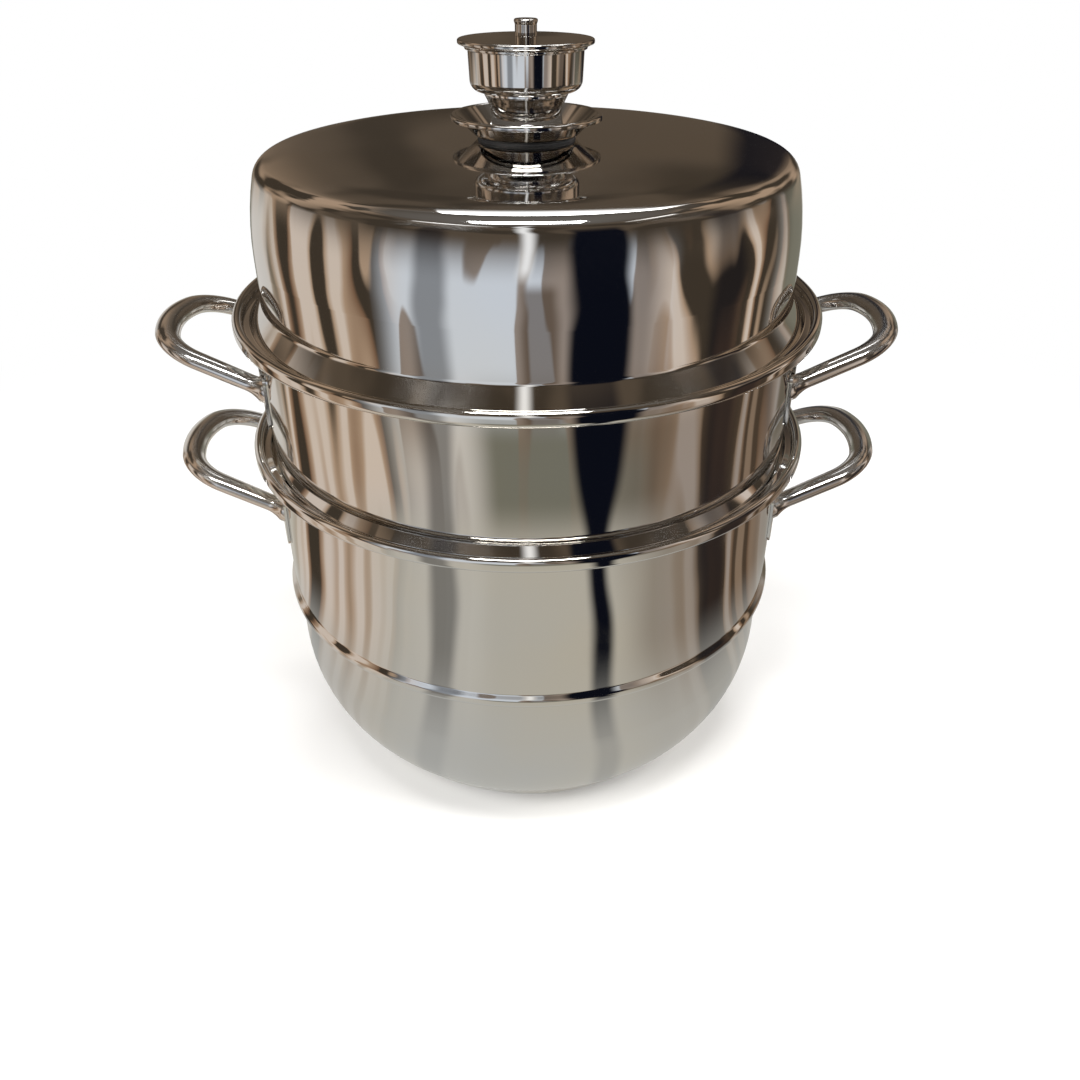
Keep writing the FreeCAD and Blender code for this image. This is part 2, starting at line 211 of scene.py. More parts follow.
def rim_path(level):
    """Bend, ledge, lip and rolled edge at the top of a wall."""
    ledge = level - LEDGE_DROP
    top = level + CURL_RISE
    bottom = level - CURL_FALL
    return [
        (MOUTH, ledge, LEDGE_BEND),
        (LIP, ledge, LIP_BEND),
        (LIP, top, CURL),
        (RIM, top, CURL),
        (RIM, bottom, CURL),
        (LIP + SHEET + CURL_SLIT, bottom, 0),
    ]


def foot_path(seat):
    return [(FOOT, seat, 0), (FOOT - FOOT_BRIM, seat, FOOT_BEND)]


def belly_corners():
    """Heel and hip of the pot, between its level floor and its upright wall."""
    low = MOUTH - POT_STEP
    slope = bend_run(HIP_BEND, HIP_LEAN) + bend_run(HEEL_BEND, 90 - HIP_LEAN)
    angle = math.radians(HIP_LEAN)
    heel = (low - slope * math.sin(angle), POT_FLOOR, HEEL_BEND)
    return heel, (low, POT_FLOOR + slope * math.cos(angle), HIP_BEND)


def pot_path():
    heel, hip = belly_corners()
    bead, shoulder = MOUTH + BEAD_BULGE, POT_LEDGE + BEAD_RISE
    return [
        (0, POT_FLOOR, 0),
        heel,
        hip,
        (hip[0], POT_LEDGE, 0),
        (bead, POT_LEDGE, BEAD_BEND),
        (bead, shoulder, BEAD_BEND),
        (MOUTH, shoulder + BEAD_SLOPE, BEAD_FLARE),
    ] + rim_path(POT_RIM)


def tier_path():
    ledge = TIER_SEAT + TIER_LEDGE_RISE
    fold = (MOUTH - TIER_LEDGE_WIDTH, ledge, TIER_FOLD)
    return foot_path(TIER_SEAT) + [fold, (MOUTH, ledge, LIP_BEND)] + rim_path(TIER_RIM)


def lid_path():
    turns = [b - a for a, b in zip((0.0,) + LID_LEANS, LID_LEANS)]
    runs = [bend_run(r, t) for r, t in zip(LID_BENDS, turns)]
    shoulder = (LID_WALL, LID_SEAT + LID_WALL_HEIGHT + runs[0], LID_BENDS[0])
    corner = leaning(shoulder, LID_LEANS[0], runs[0] + runs[1], LID_BENDS[1])
    crown_edge = leaning(corner, LID_LEANS[1], runs[1] + runs[2], LID_BENDS[2])
    crown_start = leaning(crown_edge, LID_LEANS[2], runs[2], 0)
    crown_run = (crown_start[0] - CROWN_LEVEL) / (1 + math.sin(math.radians(LID_LEANS[2])))
    crown = leaning(crown_start, LID_LEANS[2], crown_run, crown_run / bend_run(1, 90 - LID_LEANS[2]))
    wall_foot = (LID_WALL, LID_SEAT + LID_FOOT_RISE, LID_FOOT_BEND)
    middle = (BOLT_HOLE, crown[1], 0)
    return foot_path(LID_SEAT) + [wall_foot, shoulder, corner, crown_edge, crown, middle]


def base_path():
    reach = BASE_OVERHANG + BASE_FIT
    inside = belly_corners()[0][0] - bend_run(HEEL_BEND, 90 - HIP_LEAN) + reach
    heel_above = POT_FLOOR + HEEL_BEND - math.sqrt((HEEL_BEND + SHEET) ** 2 - reach ** 2)
    return [(0, SHEET, 0), (inside, SHEET, BASE_BEND), (inside, heel_above - BASE_HEEL_GAP, 0)]


# Knob, in millimetres
GASKET = 1.2
SAUCER_FOOT, SAUCER_LIP, SAUCER_HEIGHT = 27.5, 41.7, 11.2
SAUCER_BEND, SAUCER_CURL = 5.0, 1.4
NECK_FOOT, NECK_WAIST, NECK_TOP = 21.0, 18.6, 22.8
NECK_HEIGHT, NECK_WAIST_HEIGHT, NECK_BEND, NECK_WALL = 23.8, 14.0, 16.0, 1.6
CUP_FOOT, CUP_RADIUS, CUP_HEIGHT, CUP_BEND, CUP_WALL = 30.2, 31.0, 20.2, 5.4, 1.4
CAP_RADIUS, CAP_THICKNESS, CAP_RISE, CAP_BEND = 36.3, 2.2, 0.9, 0.9
CAP_BEAD, CAP_BEAD_HEIGHT, CAP_BEAD_BEND, CAP_FLARE = 1.6, 1.3, 0.6, 1.4
SPIGOT_FIT, SPIGOT_WALL, SPIGOT_HEIGHT = 0.3, 2.0, 3.0
PIN_STEM, PIN_HEAD, PIN_BEND = 5.8, 6.3, 0.9
PIN_HEIGHT, PIN_HEAD_HEIGHT, PIN_BORE = 8.2, 2.6, 5.8

LID_INSIDE = lid_path()[-1][1]
KNOB_SEAT = LID_INSIDE + SHEET
NECK_BOTTOM = KNOB_SEAT + GASKET + SHEET
CUP_BOTTOM = KNOB_SEAT + NECK_HEIGHT
CAP_BOTTOM = CUP_BOTTOM + CUP_HEIGHT
CAP_BEAD_TOP = CAP_BOTTOM + CAP_BEAD_HEIGHT
CAP_EDGE = CAP_BEAD_TOP + CAP_FLARE
CAP_TOP = CAP_EDGE + CAP_THICKNESS
PIN_BOTTOM = CAP_TOP + CAP_RISE


def saucer_path():
    lip_top = KNOB_SEAT + SAUCER_HEIGHT + SAUCER_CURL
    return [
        (BOLT_HOLE, NECK_BOTTOM, 0),
        (SAUCER_FOOT, NECK_BOTTOM, SAUCER_BEND),
        (SAUCER_LIP - 2 * SAUCER_CURL, lip_top, SAUCER_CURL),
        (SAUCER_LIP, lip_top, SAUCER_CURL),
        (SAUCER_LIP, lip_top - 2 * SAUCER_CURL, 0),
    ]


def neck_outline():
    waist = KNOB_SEAT + NECK_WAIST_HEIGHT
    inner_top = CUP_BOTTOM - NECK_WALL
    return [
        (NECK_FOOT - NECK_WALL, NECK_BOTTOM, 0),
        (NECK_FOOT, NECK_BOTTOM, 0),
        (NECK_WAIST, waist, NECK_BEND),
        (NECK_TOP, inner_top, NECK_WALL),
        (NECK_TOP, CUP_BOTTOM, 0),
        (BOLT_HOLE, CUP_BOTTOM, 0),
        (BOLT_HOLE, inner_top, 0),
        (NECK_WAIST - NECK_WALL, inner_top, 0),
        (NECK_WAIST - NECK_WALL, waist, 0),
    ]


def cup_outline():
    floor_top = CUP_BOTTOM + CUP_WALL
    return [
        (BOLT_HOLE, CUP_BOTTOM, 0),
        (CUP_FOOT, CUP_BOTTOM, CUP_BEND),
        (CUP_RADIUS, CAP_BOTTOM, 0),
        (CUP_RADIUS - CUP_WALL, CAP_BOTTOM, 0),
        (CUP_FOOT - CUP_WALL, floor_top, CUP_BEND - CUP_WALL),
        (BOLT_HOLE, floor_top, 0),
    ]


def cap_outline():
    bead = CUP_RADIUS + CAP_BEAD
    spigot = CUP_RADIUS - CUP_WALL - SPIGOT_FIT
    spigot_bottom = CAP_BOTTOM - SPIGOT_HEIGHT
    return [
        (BOLT_HOLE, CAP_BOTTOM, 0),
        (spigot - SPIGOT_WALL, CAP_BOTTOM, 0),
        (spigot - SPIGOT_WALL, spigot_bottom, 0),
        (spigot, spigot_bottom, 0),
        (spigot, CAP_BOTTOM, 0),
        (bead, CAP_BOTTOM, CAP_BEAD_BEND),
        (bead, CAP_BEAD_TOP, 0),
        (CAP_RADIUS, CAP_EDGE, CAP_BEND),
        (CAP_RADIUS, CAP_TOP, CAP_BEND),
        (PIN_HEAD, PIN_BOTTOM, 0),
        (BOLT_HOLE, PIN_BOTTOM, 0),
    ]


def pin_outline():
    bore = PIN_BOTTOM + PIN_BORE
    top = PIN_BOTTOM + PIN_HEIGHT
    return [
        (0, bore, 0),
        (BOLT_HOLE, bore, 0),
        (BOLT_HOLE, PIN_BOTTOM, 0),
        (PIN_STEM, PIN_BOTTOM, 0),
        (PIN_STEM, top - PIN_HEAD_HEIGHT, PIN_BEND),
        (PIN_HEAD, top - PIN_HEAD_HEIGHT / 2, 0),
        (PIN_HEAD, top, PIN_BEND),
        (0, top, 0),
    ]


# Handles, in millimetres
REACH = WALL + 54.2
DROP = 13.0
TILT = math.radians(21.4)
BOW = 86.0
BOW_HALF = 24.7
LOOP_BEND = 28.4
ROOT_HALF = 51.0
BAR_OVAL = (14.2, 9.6)
LEG_OVAL = (12.0, 9.6)
ROOT_OVAL = (18.0, 15.0)
FLARE = 9.0
RUN_IN = 12.0
PLATE = 1.5
TUBE_SIDES = 40
BOW_STEPS = 8
LOOP_STEPS = 26
FLARE_STEPS = 8


def rings_of(geom, kind):
    return [g for g in geom if isinstance(g, kind)]


class Tube:
    """An oval tube grown ring by ring in the plane of its loop."""

    def __init__(self, oval):
        self.mesh = bmesh.new()
        circle = bmesh.ops.create_circle(self.mesh, segments=TUBE_SIDES, radius=1.0)
        bmesh.ops.rotate(self.mesh, verts=circle["verts"], matrix=Matrix.Rotation(math.pi / 2, 3, "X"))
        self.ring = self.mesh.edges[:]
        self.place = Vector((0, 0, 0))
        self.heading = Vector((0, 1, 0))
        self.oval = (2.0, 2.0)
        self.reshape(oval)

    def verts(self):
        return list({v for e in self.ring for v in e.verts})

    def reshape(self, oval):
        """Widens or narrows the ring at the tip; the first number lies in the plane of the loop."""
        turn = Matrix.Rotation(-self.heading.xy.angle_signed(Vector((0, 1))), 4, "Z")
        space = turn.inverted() @ Matrix.Translation(-self.place)
        factors = (oval[0] / self.oval[0], 1.0, oval[1] / self.oval[1])
        bmesh.ops.scale(self.mesh, vec=factors, space=space, verts=self.verts())
        self.oval = oval

    def run(self, length, oval=None):
        grown = bmesh.ops.extrude_edge_only(self.mesh, edges=self.ring)["geom"]
        self.ring = rings_of(grown, bmesh.types.BMEdge)
        bmesh.ops.translate(self.mesh, verts=self.verts(), vec=self.heading * length)
        self.place = self.place + self.heading * length
        self.reshape(oval or self.oval)

    def turn(self, radius, angle, steps):
        """Bend to the left of the heading."""
        left = Vector((-self.heading.y, self.heading.x, 0))
        centre = self.place + left * radius
        swept = bmesh.ops.spin(
            self.mesh, geom=self.ring, cent=centre, axis=(0, 0, 1), angle=angle, steps=steps
        )["geom_last"]
        self.ring = rings_of(swept, bmesh.types.BMEdge)
        swing = Matrix.Rotation(angle, 3, "Z")
        self.place = centre + swing @ (self.place - centre)
        self.heading = swing @ self.heading


def loop_handle(name, rim, half_turns):
    """A tube loop whose ends sit in the weld plates on the wall."""
    root_x = (math.sqrt(WALL ** 2 - ROOT_HALF ** 2) - REACH) / math.cos(TILT)
    bow_turn = math.asin(BOW_HALF / BOW)
    bend_centre = Vector((math.cos(bow_turn), math.sin(bow_turn))) * (BOW - LOOP_BEND) - Vector((BOW, 0))
    to_root = Vector((root_x, ROOT_HALF)) - bend_centre
    leg_turn = math.atan2(to_root.y, to_root.x) - math.acos(LOOP_BEND / to_root.length)
    tube = Tube(BAR_OVAL)
    tube.turn(BOW, bow_turn, BOW_STEPS)
    tube.turn(LOOP_BEND, leg_turn - bow_turn, LOOP_STEPS)
    tube.run(math.sqrt(to_root.length ** 2 - LOOP_BEND ** 2) - FLARE, LEG_OVAL)
    for i in range(1, FLARE_STEPS + 1):
        share = (i / FLARE_STEPS) ** 2
        oval = tuple(a + (b - a) * share for a, b in zip(LEG_OVAL, ROOT_OVAL))
        tube.run(FLARE / FLARE_STEPS, oval)
    tube.run(RUN_IN)
    bm = tube.mesh
    bmesh.ops.rotate(bm, verts=bm.verts, matrix=Matrix.Rotation(-TILT, 3, "Y"))
    bmesh.ops.translate(bm, verts=bm.verts, vec=(REACH, 0, rim - DROP))
    azimuth = math.asin(ROOT_HALF / WALL)
    outward = Vector((math.cos(azimuth), math.sin(azimuth), 0))
    cut = bmesh.ops.bisect_plane(
        bm, geom=bm.verts[:] + bm.edges[:] + bm.faces[:], plane_co=outward * (WALL + PLATE / 2),
        plane_no=outward, clear_inner=True,
    )
    bmesh.ops.holes_fill(bm, edges=rings_of(cut["geom_cut"], bmesh.types.BMEdge), sides=0)
    bmesh.ops.mirror(bm, geom=bm.verts[:] + bm.edges[:] + bm.faces[:], axis="Y", merge_dist=WELD)
    bmesh.ops.rotate(bm, verts=bm.verts, matrix=Matrix.Rotation(math.pi * half_turns, 3, "Z"))
    return finished(name, bm)


class Value:
    """A shader socket that takes Python's arithmetic."""

    def __init__(self, finish, socket):
        self.finish = finish
        self.socket = socket

    def __add__(self, other):
        return self.finish.sum("ADD", self, other)

    def __sub__(self, other):
        return self.finish.sum("SUBTRACT", self, other)

    def __rsub__(self, other):
        return self.finish.sum("SUBTRACT", other, self)

    def __mul__(self, other):
        return self.finish.sum("MULTIPLY", self, other)

    def __pow__(self, other):
        return self.finish.sum("POWER", self, other)

    __radd__ = __add__
    __rmul__ = __mul__


class Finish:
    """A material or world under construction."""

    def __init__(self, owner):
        owner.use_nodes = True
        self.owner = owner
        self.tree = owner.node_tree
        self.tree.nodes.clear()

    def add(self, kind, sockets=None, output=0, **settings):
        """One node: its settings first, then the values or links of its sockets."""
        node = self.tree.nodes.new(kind)
        stops = settings.pop("stops", None)
        for name, value in settings.items():
            setattr(node, name, value)
        if stops:
            ramp = node.color_ramp
            while len(ramp.elements) < len(stops):
                ramp.elements.new(1.0)
            for element, (place, colour) in zip(ramp.elements, stops):
                element.position = place
                element.color = colour
        for name, value in (sockets or {}).items():
            if isinstance(value, Value):
                self.tree.links.new(value.socket, node.inputs[name])
            else:
                node.inputs[name].default_value = value
        return Value(self, node.outputs[output]) if node.outputs else node

    def sum(self, operation, a, b):
        return self.add("ShaderNodeMath", {0: a, 1: b}, operation=operation)

    def join(self, x, y, z=0.0):
        return self.add("ShaderNodeCombineXYZ", {"X": x, "Y": y, "Z": z})

    def noise(self, vector, scale, detail=2.0, roughness=0.5):
        return self.add(
            "ShaderNodeTexNoise",
            {"Vector": vector, "Scale": scale, "Detail": detail, "Roughness": roughness},
        )

    def smooth(self, value, low, high, out_low=0.0, out_high=1.0):
        return self.add(
            "ShaderNodeMapRange",
            {"Value": value, "From Min": low, "From Max": high, "To Min": out_low, "To Max": out_high},
            interpolation_type="SMOOTHSTEP",
        )

    def band(self, value, middle, half, soft):
        """1 within half of the middle, with soft edges."""
        rise = self.smooth(value, middle - half - soft, middle - half + soft)
        return rise * self.smooth(value, middle + half - soft, middle + half + soft, 1.0, 0.0)

    def parts(self, vector):
        sockets = self.add("ShaderNodeSeparateXYZ", {0: vector}).socket.node.outputs
        return [Value(self, socket) for socket in sockets]

    def mix(self, factor, a, b):
        return self.add(
            "ShaderNodeMix", {"Factor": factor, 6: a, 7: b}, output=2, data_type="RGBA"
        )

    def surface(self, shader, output="ShaderNodeOutputMaterial"):
        self.add(output, {"Surface": shader})
        return self.owner


def place_values(finish):
    """Object coordinates, and the way along a turned surface: out plus up."""
    place = finish.add("ShaderNodeTexCoord", output=3)
    x, y, z = finish.parts(place)
    along = (x * x + y * y) ** 0.5 + z
    return place, along, z


# Scales of the finishes, per metre, and the depth of the fine marks in metres
TINT_SCALE, SMUDGE_SCALE, WAVE_SCALE = 7.0, 21.0, 11.0
LINES_PER_METRE, LINE_DRIFT, LINE_DEPTH = 1400.0, 40.0, 2e-6
GRAIN_SCALE, DUST_SCALE, GRAIN_DEPTH = 900.0, 60.0, 2e-5


def steel(name, cool, warm, rough, lines, waves, smudges):
    """Stainless sheet: polishing lines round the axis, hand smudges and slow waves of thin metal."""
    finish = Finish(bpy.data.materials.new(name))
    place, along, z = place_values(finish)
    tint = finish.smooth(finish.noise(place, TINT_SCALE, detail=3.0), low=0.35, high=0.68)
    colour = finish.mix(tint, cool + (1,), warm + (1,))
    track = finish.join(along * LINES_PER_METRE, z * LINE_DRIFT)
    scratch = finish.noise(track, 1.0, detail=4.0, roughness=0.65)
    smudge = finish.noise(place, SMUDGE_SCALE, detail=4.0, roughness=0.6)
    smudge = finish.smooth(smudge, low=0.52, high=0.74)
    roughness = scratch * lines + smudge * smudges + (rough - lines / 2)
    wave = finish.noise(place, WAVE_SCALE, detail=1.0, roughness=0.4)
    slow = finish.add("ShaderNodeBump", {"Strength": 1.0, "Distance": waves, "Height": wave})
    fine = finish.add(
        "ShaderNodeBump",
        {"Strength": 0.25, "Distance": LINE_DEPTH, "Height": scratch, "Normal": slow},
    )
    shader = finish.add(
        "ShaderNodeBsdfPrincipled",
        {"Base Color": colour, "Metallic": 1.0, "Roughness": roughness, "Normal": fine},
    )
    return finish.surface(shader)


def rubber(name, colour, dusty):
    """Matte silicone with a fine grain and a little dust."""
    finish = Finish(bpy.data.materials.new(name))
    place = finish.add("ShaderNodeTexCoord", output=3)
    grain = finish.noise(place, GRAIN_SCALE, detail=3.0)
    dust = finish.smooth(finish.noise(place, DUST_SCALE, detail=3.0), low=0.4, high=0.7)
    bump = finish.add("ShaderNodeBump", {"Strength": 0.3, "Distance": GRAIN_DEPTH, "Height": grain})
    shader = finish.add(
        "ShaderNodeBsdfPrincipled",
        {
            "Base Color": finish.mix(dust, colour + (1,), dusty + (1,)),
            "Roughness": finish.smooth(grain, low=0.2, high=0.8, out_low=0.55, out_high=0.75),
            "Normal": bump,
        },
    )
    return finish.surface(shader)


COOL = (0.76, 0.76, 0.76)
WARM = (0.79, 0.76, 0.71)
mirror_steel = steel(
    "mirror_polished_steel", COOL, WARM, rough=0.04, lines=0.025, waves=8e-5, smudges=0.05
)
knob_steel = steel(
    "knob_polished_steel", COOL, WARM, rough=0.05, lines=0.03, waves=4e-5, smudges=0.04
)
tube_steel = steel(
    "handle_tube_steel", COOL, WARM, rough=0.12, lines=0.04, waves=6e-5, smudges=0.05
)
satin_steel = steel(
    "satin_inside_steel", (0.60, 0.60, 0.59), (0.64, 0.62, 0.58),
    rough=0.26, lines=0.12, waves=1e-4, smudges=0.04,
)
plate_steel = steel(
    "steam_plate_steel", (0.58, 0.58, 0.57), (0.62, 0.60, 0.57),
    rough=0.30, lines=0.10, waves=1.5e-4, smudges=0.08,
)
screw_steel = steel(
    "knob_screw_steel", (0.52, 0.52, 0.52), (0.56, 0.55, 0.52),
    rough=0.32, lines=0.10, waves=2e-5, smudges=0.08,
)
core_metal = steel(
    "base_core_aluminium", (0.66, 0.67, 0.68), (0.70, 0.70, 0.69),
    rough=0.38, lines=0.12, waves=5e-5, smudges=0.06,
)
gasket_silicone = rubber("gasket_silicone", (0.045, 0.045, 0.047), (0.085, 0.083, 0.08))


def dress(piece, body, slot, finish, *nodes):
    piece.data.materials.append(finish)
    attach(piece, body)
    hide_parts(*nodes)
    return piece


def satin_inside(piece, is_inside):
    """Gives the faces that is_inside picks the satin finish of an inner wall."""
    piece.data.materials.append(satin_steel)
    for face in piece.data.polygons:
        if is_inside(face.center, face.normal):
            face.material_index = 1


INWARD = 0.3
LEVEL = 0.5


def faces_axis(centre, normal):
    return normal.x * centre.x + normal.y * centre.y < -INWARD * math.hypot(centre.x, centre.y)


def lid_inside(centre, normal):
    return faces_axis(centre, normal) or normal.z < -LEVEL


def vessel_inside(rim):
    """Picks the wall and floor of a vessel, from below the bend of its rim."""
    top = (rim - 2 * CURL - LEDGE_BEND) * MM
    reach = MOUTH * MM

    def inside(centre, normal):
        level = normal.z > LEVEL and centre.xy.length < reach
        return centre.z < top and (faces_axis(centre, normal) or level)

    return inside


shell_sections = {
    "pot_skin": (pot_path(), "pot", "pot_shell", vessel_inside(POT_RIM)),
    "tier_skin": (tier_path(), "steamer", "steamer_shell", vessel_inside(TIER_RIM)),
    "lid_skin": (lid_path(), "lid", "lid_shell", lid_inside),
    "base_cup": (base_path(), "pot", "base_cap", None),
}
for name, (path, body, node, is_inside) in shell_sections.items():
    shell = turned(name, sheet_outline(path))
    skin = dress(shell, body, "polished_steel", mirror_steel, node)
    if is_inside:
        satin_inside(skin, is_inside)

knob_sections = {
    "knob_dish": (sheet_outline(saucer_path()), "knob_saucer"),
    "knob_stem": (neck_outline(), "knob_neck"),
    "knob_barrel": (cup_outline(), "knob_cup"),
    "knob_disc": (cap_outline(), "knob_cap"),
    "knob_pin": (pin_outline(), "knob_finial"),
}
for name, (section, node) in knob_sections.items():
    dress(turned(name, section), "lid", "polished_steel", knob_steel, node)

for owner, rim in (("pot", POT_RIM), ("steamer", TIER_RIM)):
    for half_turns, side in enumerate(("right", "left")):
        node = f"{owner}_handle_{side}"
        dress(loop_handle(f"{node}_tube", rim, half_turns), owner, "handle_steel", tube_steel, node)

node_finishes = {
    "pot_plate": plate_steel,
    "steamer_plate": plate_steel,
    "base_core": core_metal,
    "knob_gasket": gasket_silicone,
    "knob_washer": screw_steel,
    "knob_screw": screw_steel,
}
for owner in ("pot", "steamer"):
    for side in ("right", "left"):
        node_finishes[f"{owner}_handle_{side}_pads"] = tube_steel
for name, finish in node_finishes.items():
    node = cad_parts[name]
    node.data.materials.clear()
    node.data.materials.append(finish)


def seen_white(finish):
    """1 for rays that should meet the white background: from the camera, or by way of metal or glass."""
    rays = finish.add("ShaderNodeLightPath").socket.node.outputs
    camera, glossy, through = (
        Value(finish, rays[kind]) for kind in ("Is Camera Ray", "Is Glossy Ray", "Is Transmission Ray")
    )
    return finish.sum("MINIMUM", camera + glossy + through, 1.0)


FLOOR_RADIUS = 14.0
RING_STEPS = 96
WHITE = (1.0, 1.0, 1.0, 1)


def floor_finish():
    """Pale floor that goes over into the white background and keeps the shadow near the pot."""
    finish = Finish(bpy.data.materials.new("pale_floor"))
    place = finish.add("ShaderNodeTexCoord", output=3)
    x, y = finish.parts(place)[:2]
    tone = finish.smooth(finish.noise(place, 3.0, detail=2.0), low=0.2, high=0.8)
    colour = finish.mix(tone, (0.88, 0.88, 0.88, 1), (0.90, 0.90, 0.89, 1))
    pale = finish.add("ShaderNodeBsdfPrincipled", {"Base Color": colour, "Roughness": 0.8})
    white = finish.add("ShaderNodeEmission", {"Color": WHITE, "Strength": 1.0})
    reach = (x * x + y * y) ** 0.5
    far = finish.smooth(reach, low=0.18, high=0.90, out_low=0.06, out_high=1.0)
    share = far * seen_white(finish)
    return finish.surface(finish.add("ShaderNodeMixShader", {0: share, 1: pale, 2: white}))


def flat_floor():
    bm = bmesh.new()
    bmesh.ops.create_circle(bm, cap_ends=True, segments=RING_STEPS, radius=FLOOR_RADIUS)
    mesh = bpy.data.meshes.new("floor")
    bm.to_mesh(mesh)
    bm.free()
    floor = bpy.data.objects.new("floor", mesh)
    scene.collection.objects.link(floor)
    floor.data.materials.append(floor_finish())


# Glowing cards round the pot that only the polished steel sees; their colours are painted reflections of
# a room. Lengths are in metres and angles in turns:
# 0.5 is the front, 0.75 the right, and aside counts from the front to either side.
FRONT = 0.5
CARD_DISTANCE = 0.46
CARD_INSIDE, CARD_COVERS = 0.124, 0.132
CARD_LIFT = 0.001
CARD_FADES, CARD_TOP = 0.80, 1.1
PALE_CARD = (0.66, 0.63, 0.59, 1)
GREY_CARD = (0.20, 0.195, 0.155, 1)
COOL_CARD = (0.70, 0.75, 0.82, 1)
PINK_CARD = (0.70, 0.60, 0.52, 1)
TAN_CARD = (0.46, 0.33, 0.23, 1)
BROWN_CARD = (0.22, 0.13, 0.08, 1)
UMBER_CARD = (0.10, 0.065, 0.04, 1)
OLIVE_CARD = (0.10, 0.075, 0.053, 1)
DEEP_CARD = (0.055, 0.042, 0.030, 1)
DARK_CARD = (0.004, 0.005, 0.010, 1)
FLOOR_CARD = (0.58, 0.55, 0.48, 1)
# Grey painted shade of the floor next to the pot, as the steel reflects it
NEAR_SHADE_CARD = (0.52, 0.52, 0.495, 1)
STRIPE_STOPS = (
    (0.30, BROWN_CARD),
    (0.36, DEEP_CARD),
    (0.405, DEEP_CARD),
    (0.42, TAN_CARD),
    (0.455, PINK_CARD),
    (0.50, PINK_CARD),
    (0.515, TAN_CARD),
    (0.555, BROWN_CARD),
    (0.57, DEEP_CARD),
    (0.62, DEEP_CARD),
    (0.64, TAN_CARD),
)
RIPPLE_SCALE, RIPPLE = 5.0, 0.03
STRIPES_PER_TURN, STRIPE_RISE = 15.0, 1.1
SHAPES_PER_TURN, SHAPE_START, SHAPE_RISE = 24.0, 4.0, 1.6
PANEL_SCALE, PANEL_RISE = 7.0, 1.2
PATCHES_PER_TURN, PATCH_RISE = 15.0, 6.0
BRINK_DEPTH = 0.14


class CardPlace:
    """Where a point of the cards lies: its height, its distance from the axis and its angle."""

    def __init__(self, finish):
        place = finish.add("ShaderNodeTexCoord", output=3)
        self.x, self.y, self.z = finish.parts(place)
        self.reach = (self.x * self.x + self.y * self.y) ** 0.5
        ripple = finish.noise(place, RIPPLE_SCALE, detail=1.0) * RIPPLE - RIPPLE / 2
        self.turn = finish.sum("ARCTAN2", self.x, self.y * -1.0) * (1 / math.tau) + FRONT + ripple
        self.aside = finish.add("ShaderNodeMath", {0: self.turn - FRONT}, operation="ABSOLUTE")


def front_card(finish, card, stripes):
    """Pale or grey low down and cool above, with upright darker shapes."""
    low = finish.mix(finish.smooth(card.turn, low=0.43, high=0.47), PALE_CARD, GREY_CARD)
    front = finish.mix(finish.smooth(card.z, low=0.12, high=0.19), low, COOL_CARD)
    tall = finish.join(card.turn * SHAPES_PER_TURN + SHAPE_START, card.z * SHAPE_RISE)
    shapes = finish.smooth(finish.noise(tall, 1.0, detail=1.5), low=0.48, high=0.51)
    shapes = shapes * finish.smooth(card.z, low=0.08, high=0.16, out_low=0.25, out_high=0.85)
    front = finish.mix(shapes, front, finish.mix(stripes, DARK_CARD, TAN_CARD))
    across = finish.band(card.turn, middle=0.514, half=0.016, soft=0.006)
    upright = finish.band(card.z, middle=0.235, half=0.095, soft=0.02)
    return finish.mix(across * upright * 0.75, front, UMBER_CARD)


def back_card(finish, card):
    """Broad pale and grey panels."""
    panels = finish.join(card.x * PANEL_SCALE, card.y * PANEL_SCALE, card.z * PANEL_RISE)
    pale = finish.smooth(finish.noise(panels, 1.0, detail=1.0), low=0.44, high=0.56)
    return finish.mix(pale, GREY_CARD, PALE_CARD)


def ceiling_card(finish, card):
    """Dark olive patches, tan at both sides."""
    patch = finish.join(card.turn * PATCHES_PER_TURN, card.z * PATCH_RISE)
    patches = finish.noise(patch, 1.0, detail=1.5, roughness=0.5)
    ceiling = finish.mix(finish.smooth(patches, low=0.40, high=0.58), DEEP_CARD, OLIVE_CARD)
    warm = finish.band(card.aside, middle=0.31, half=0.07, soft=0.05)
    warm = warm * finish.smooth(patches, low=0.42, high=0.56)
    return finish.mix(warm, ceiling, TAN_CARD)


def painted_dark_flags(finish, card):
    """1 on the dark upright flags, dark bands painted into the reflections."""
    wide = finish.smooth(card.z, low=0.0, high=0.14, out_low=0.010, out_high=0.026)
    flags = finish.band(card.turn, middle=0.566, half=wide, soft=0.006)
    flags = flags + finish.band(card.turn, middle=0.415, half=0.012, soft=0.006) * 0.6
    flags = flags + finish.band(card.turn, middle=0.70, half=0.02, soft=0.01) * 0.7
    flags = flags + finish.band(card.turn, middle=0.91, half=0.018, soft=0.008) * 0.9
    return finish.sum("MINIMUM", flags, 1.0)


